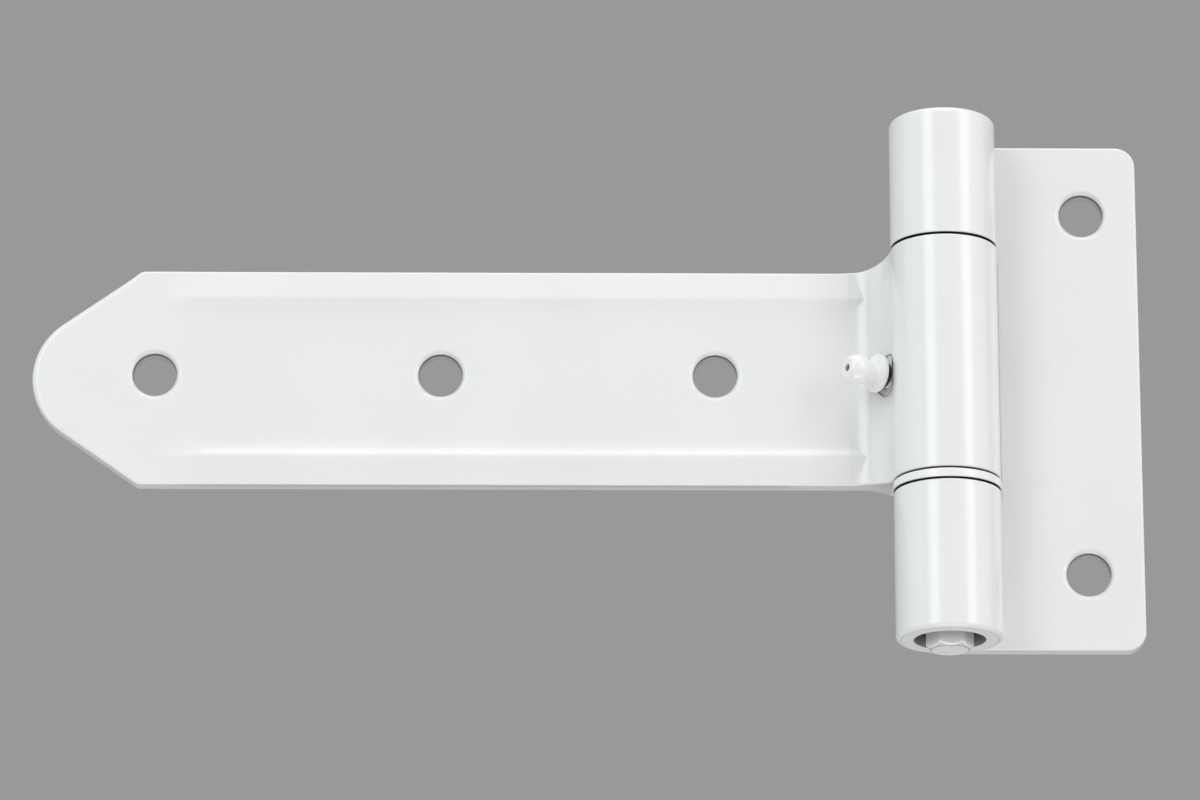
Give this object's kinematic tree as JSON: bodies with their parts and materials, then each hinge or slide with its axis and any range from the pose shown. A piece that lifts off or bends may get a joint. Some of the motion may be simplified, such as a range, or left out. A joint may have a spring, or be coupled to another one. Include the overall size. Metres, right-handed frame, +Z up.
{
  "type": "bus door hinge",
  "caption": "Strap hinge with a long pointed door leaf, a short frame leaf, a barrel on a bolted pin and a grease nipple at the middle knuckle.",
  "frame": {"origin": "on the back of the frame leaf, midway between its two fixing holes", "axes": "+Z up along the pin, +Y back into the vehicle body, +X from the strap towards the frame leaf; the strap is folded flat, as with the door shut"},
  "size_m": [0.2502, 0.0242, 0.1242],
  "materials": {
    "white_paint": "glossy white coat",
    "painted_fixings": "glossy white coat",
    "bright_steel": "turned, oiled",
    "bronze": "sintered bronze, greased"
  },
  "bodies": {
    "frame": {"frame_leaf": "white_paint", "hinge_pin": "bright_steel", "upper_sleeve": "bright_steel", "lower_sleeve": "bright_steel", "thrust_washer": "white_paint", "retaining_washer": "bright_steel", "spring_washer": "bright_steel", "retaining_screw": "painted_fixings"},
    "strap": {"strap_leaf": "white_paint", "upper_bearing": "bronze", "lower_bearing": "bronze", "nipple_body": "painted_fixings", "nipple_ball": "bright_steel", "nipple_spring": "bright_steel"}
  },
  "joints": [
    {"name": "door_swing", "type": "hinge", "parent": "frame", "child": "strap", "pos_m": [-0.032, -0.012, 0], "axis": [0, 0, 1], "range_deg": [-90, 180]}
  ]
}
